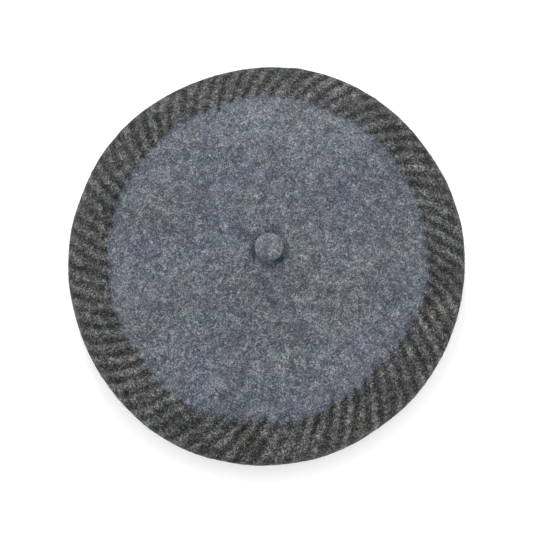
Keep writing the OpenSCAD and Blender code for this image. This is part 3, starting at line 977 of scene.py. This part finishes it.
def build_care_label(pale):
    """The satin label: one piece, sewn along its top, that bends where the CAD tab meets the flap."""
    tab_low, tab_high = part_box("care_label_tab")
    flap_low, flap_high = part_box("care_label")
    y = np.linspace(tab_low.y, tab_high.y, 41)[None, :]
    z = np.linspace(flap_low.z, tab_high.z, 67)[:, None]
    drop = np.clip((flap_high.z - z) / (flap_high.z - flap_low.z), 0, 1)
    curl = 0.10 * MM * drop * np.sin(y * 260 + 0.6) * smooth(drop, 0.1, 0.6)
    middle = (tab_low.x + tab_high.x) / 2 + curl
    half_t = 0.13 * MM
    waist = 1 - 0.048 * drop * (1 - drop)
    front = np.stack(np.broadcast_arrays(middle + half_t, -y * waist, z), axis=-1)
    back = np.stack(np.broadcast_arrays(middle - half_t, -y * waist, z), axis=-1)
    flap = slab("satin_label", front, back)
    flap.data.materials.append(satin_material())
    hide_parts("care_label", "care_label_tab")
    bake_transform(flap)

    pitch = (tab_high.y - tab_low.y) / CARE_STITCHES
    k = np.linspace(-1, 1, 9)
    y = tab_low.y + pitch * (np.arange(CARE_STITCHES) + 0.5)[:, None] + k * pitch * 0.36
    x = tab_high.x + 0.02 * MM - smooth(np.abs(k), 0.55, 1.0) * 0.42 * MM
    centres = np.stack(np.broadcast_arrays(x, y, middle_of("care_label_stitches")[2]), axis=-1)
    thread = strands("care_thread", centres, np.broadcast_to((1.0, 0, 0), centres.shape), THREAD_R * 0.9, 8)
    finish_piece(thread, "hat", "light_thread", pale, "care_label_stitches")


# ---- The covered button, its shank and what holds it inside ----
def build_button_cover():
    """The felt over the button: a dome, a rolled edge with small pleats, and the face against the shell."""
    low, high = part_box("button_cover")
    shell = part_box("button_shell")[1]
    wide, dome_z = shell.x + COVER_T, low.z + COVER_EDGE_R
    turn = np.radians(np.linspace(3, 90, 40))
    dome_r, dome_h = wide * np.sin(turn) ** 0.86, (high.z - dome_z) * np.cos(turn) ** 0.92
    outer = list(np.stack([dome_r, dome_z + dome_h], axis=-1))
    outer += corner(wide - COVER_EDGE_R, dome_z, COVER_EDGE_R, -12, -90, 9)
    outer += between((wide - COVER_EDGE_R - 0.2 * MM, low.z), (COVER_LIP_R, low.z), 0.3 * MM)
    clear = 0.06 * MM
    turn = np.radians(np.linspace(90, 4, 22))
    dome_r, dome_h = (shell.x + clear) * np.sin(turn), (shell.z - dome_z + clear) * np.cos(turn)
    inner = [(COVER_LIP_R, low.z + 1.0 * MM), (shell.x + clear, low.z + 1.05 * MM)]
    inner += list(np.stack([dome_r, dome_z + dome_h], axis=-1))
    profile = np.array(outer + inner)

    theta = turns(200)
    r, z = profile[:, :1] + 0 * theta, profile[:, 1:] + 0 * theta
    seat = around_axis(r, theta, z)
    skin = (np.arange(len(profile)) < len(outer))[:, None]
    soft = 0.13 * ripple(seat, 7 * MM, 41, waves=30) + 0.05 * ripple(seat, 2.2 * MM, 42, waves=60)
    under = 1 - smooth(z, low.z + 0.6 * MM, low.z + 3.6 * MM)
    pleats = under * (0.22 * np.cos(theta * 15 + 0.6 * np.sin(theta * 4)) - 0.1)
    puff = np.where(skin, np.minimum(soft, 0.25) * (1 - 0.6 * under) + pleats, 0) * MM
    level = np.clip((z - dome_z) / (high.z - dome_z), 0, 1)
    r = np.clip(r + puff * np.sqrt(1 - level ** 2), np.where(skin, 0, r), None)
    z = z + np.where(skin, np.minimum(puff, 0) * level + 0.3 * MM * under * np.abs(pleats), 0)
    apex = (0, 0, float(z[0].mean()) + 0.01 * MM)
    cover = capped_ring("button_felt", around_axis(r, theta, z), apex, (0, 0, shell.z + clear))
    finish_piece(cover, "button", "crown_felt", button_felt_material(), "button_cover")


def racetrack(foot_z, top_z, reach):
    """A loop in the YZ plane: two straight runs, joined by half circles of radius reach."""
    def at(t):
        straight = top_z - foot_z
        d = t * (2 * straight + 2 * math.pi * reach)
        over = np.clip((d - straight) / reach, 0, math.pi)
        turn = over + np.clip((d - 2 * straight - math.pi * reach) / reach, 0, math.pi)
        rising = np.clip(d, 0, straight)
        falling = np.clip(d - straight - math.pi * reach, 0, straight)
        out = np.stack([np.zeros(t.shape), np.cos(turn), np.sin(turn)], axis=-1)
        centre = reach * out
        centre[:, 2] += foot_z + rising - falling
        return centre, out, np.broadcast_to((1.0, 0.0, 0.0), out.shape)
    return at


def trefoil(middle, size):
    """A knot's line about a middle point."""
    def at(t):
        turn = TURN * t
        x = np.sin(turn) + 2 * np.sin(2 * turn)
        y = np.cos(turn) - 2 * np.cos(2 * turn)
        centre = middle + np.stack([x, y, -1.5 * np.sin(3 * turn)], axis=-1) * size
        out = around_axis(1.0, turn, 0.0)
        return centre, out, np.broadcast_to((0.0, 0.0, 1.0), out.shape)
    return at


def build_shank(dark):
    """The loop of thread through wire and anchor, the wrapping that makes it a stem, and the knot."""
    low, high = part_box("button_thread")
    line = racetrack(low.z + THREAD_REACH + BUNDLE_R, high.z - THREAD_REACH - BUNDLE_R, THREAD_REACH)
    loop = rope_on("shank_thread", line, 3, BUNDLE_R * 0.5, BUNDLE_R * 0.47, 14, 280, 8)
    finish_piece(loop, "shank", "dark_thread", dark, "button_thread")

    knots = np.linspace(0, 1, 40)
    angle = turns(STEM_STRANDS)[:, None] + knots * STEM_TWIST
    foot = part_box("anchor_button")[1].z + 0.1 * MM
    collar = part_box("button_cover")[0].z - BUTTON_GAP + 0.3 * MM
    centres = around_axis(STEM_R - THREAD_R * 1.45, angle, foot + (collar - foot) * knots)
    stem = strands("shank_stem", centres, around_axis(1.0, angle, 0.0), THREAD_R * 1.38, 8)
    finish_piece(stem, "shank", "dark_thread", dark)

    low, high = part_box("thread_knot")
    line = trefoil(middle_of("thread_knot"), (high.x - low.x) / 8)
    knot = rope_on("knot_thread", line, 2, 0.14 * MM, 0.17 * MM, 16, 240)
    finish_piece(knot, "shank", "dark_thread", dark, "thread_knot")


def build_anchor():
    """The two-hole button inside, with rounded edges and a raised rim on the side that shows."""
    low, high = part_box("anchor_button")
    wide, rim_r, rim_h, back_r, centre_r = high.x, 1.0 * MM, 0.35 * MM, 0.5 * MM, 0.02 * MM
    profile = [(centre_r, low.z), (3.7 * MM, low.z), (4.0 * MM, low.z - 0.04 * MM)]
    profile += [(4.4 * MM, low.z - 0.6 * rim_h)]
    profile += corner(wide - rim_r, low.z - rim_h + rim_r, rim_r, -100, -5, 12)
    profile += corner(wide - back_r, high.z - back_r, back_r, 5, 90, 7)
    profile = np.array(profile + [(4.5 * MM, high.z), (centre_r, high.z)])
    theta = turns(96)
    points = around_axis(profile[:, :1], theta, profile[:, 1:])
    body = capped_ring("anchor_blank", points, (0, 0, low.z), (0, 0, high.z))
    # Each drill is wider below the face, so that its hole is countersunk
    drill_r = (BUNDLE_R + 0.2 * MM) * np.array([1.9, 1.0, 1.0])[:, None]
    drill_z = np.array([low.z - 0.5 * MM, low.z + 0.25 * MM, high.z + 1 * MM])[:, None]
    drills = []
    for y in (-ANCHOR_HOLE_Y, ANCHOR_HOLE_Y):
        points = around_axis(drill_r, theta[::3], drill_z) + (0, y, 0)
        drills.append(capped_ring("drill", points, (0, y, drill_z[0, 0]), (0, y, drill_z[-1, 0])))
        cut = body.modifiers.new("hole", "BOOLEAN")
        cut.operation, cut.solver, cut.object = "DIFFERENCE", "EXACT", drills[-1]
    shape = body.evaluated_get(bpy.context.evaluated_depsgraph_get()).to_mesh()
    vertices = [tuple(v.co) for v in shape.vertices]
    faces = [tuple(f.vertices) for f in shape.polygons]
    for blank in [body] + drills:
        bpy.data.objects.remove(blank)
    button = add_mesh("anchor_disc", vertices, faces)
    button.data.set_sharp_from_angle(angle=math.radians(40))
    finish_piece(button, "shank", "anchor_plastic", plastic_material(), "anchor_button")


def build_patch():
    """The felt patch round the stem, with a pinked edge."""
    low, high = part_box("crown_patch")
    theta = turns(8 * PATCH_TEETH)
    tooth = np.abs((theta * PATCH_TEETH / TURN) % 1 * 2 - 1)
    hole = STEM_R + 0.1 * MM
    share = np.linspace(0, 1, 10)[:, None]
    r = hole + (high.x - 0.1 * MM - PATCH_TOOTH * tooth - hole) * share
    rounding = 0.15 * MM * smooth(share, 0.9, 1)
    below = around_axis(r, theta, low.z + rounding)
    below[..., 2] += 0.05 * MM * (1 + np.clip(ripple(below, 2.5 * MM, 51), -1, 1))
    above = around_axis(r, theta, high.z - rounding)
    points = np.concatenate([above, below[::-1]])
    patch = closed_ring("patch_felt", points, np.zeros(len(points)))
    felt = plain_felt_material("dark_felt", (24, 26, 29), (44, 47, 52), (84, 88, 95), 1.0)
    finish_piece(patch, "hat", "patch_felt", felt, "crown_patch")


def dress_hardware():
    """The CAD nodes whose shape is already right get their materials."""
    looks = {
        "elastic": elastic_material(),
        "button_shell": metal_material("drawn_aluminium", (0.60, 0.61, 0.62, 1), 0.34),
        "button_back": metal_material("stamped_aluminium", (0.54, 0.55, 0.56, 1), 0.42),
        "button_loop": metal_material("steel_wire", (0.42, 0.42, 0.43, 1), 0.28),
    }
    for node, material in looks.items():
        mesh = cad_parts[node].data
        mesh.materials.clear()
        mesh.materials.append(material)


set_camera()
set_studio()
settle_shell()
build_shell()
build_seams()
build_headband()
ribbon_r = build_sweatband()
dark_thread = yarn_material("dark_thread", (40, 42, 46), (78, 80, 86), 0.55)
stitch_row("hem_thread", HEM_STITCHES, band_r + 0.12 * MM, "hem_stitches", 3.4 * MM, 0.9 * MM, dark_thread)
stitch_row("ribbon_thread", RIBBON_STITCHES, ribbon_r - 0.26 * MM, "sweatband_stitches", 3.1 * MM, -0.5 * MM,
           dark_thread)
pale_thread = yarn_material("pale_thread", (150, 148, 140), (196, 194, 186), 0.55)
build_main_label(pale_thread)
build_care_label(pale_thread)
build_button_cover()
build_shank(dark_thread)
build_anchor()
build_patch()
dress_hardware()
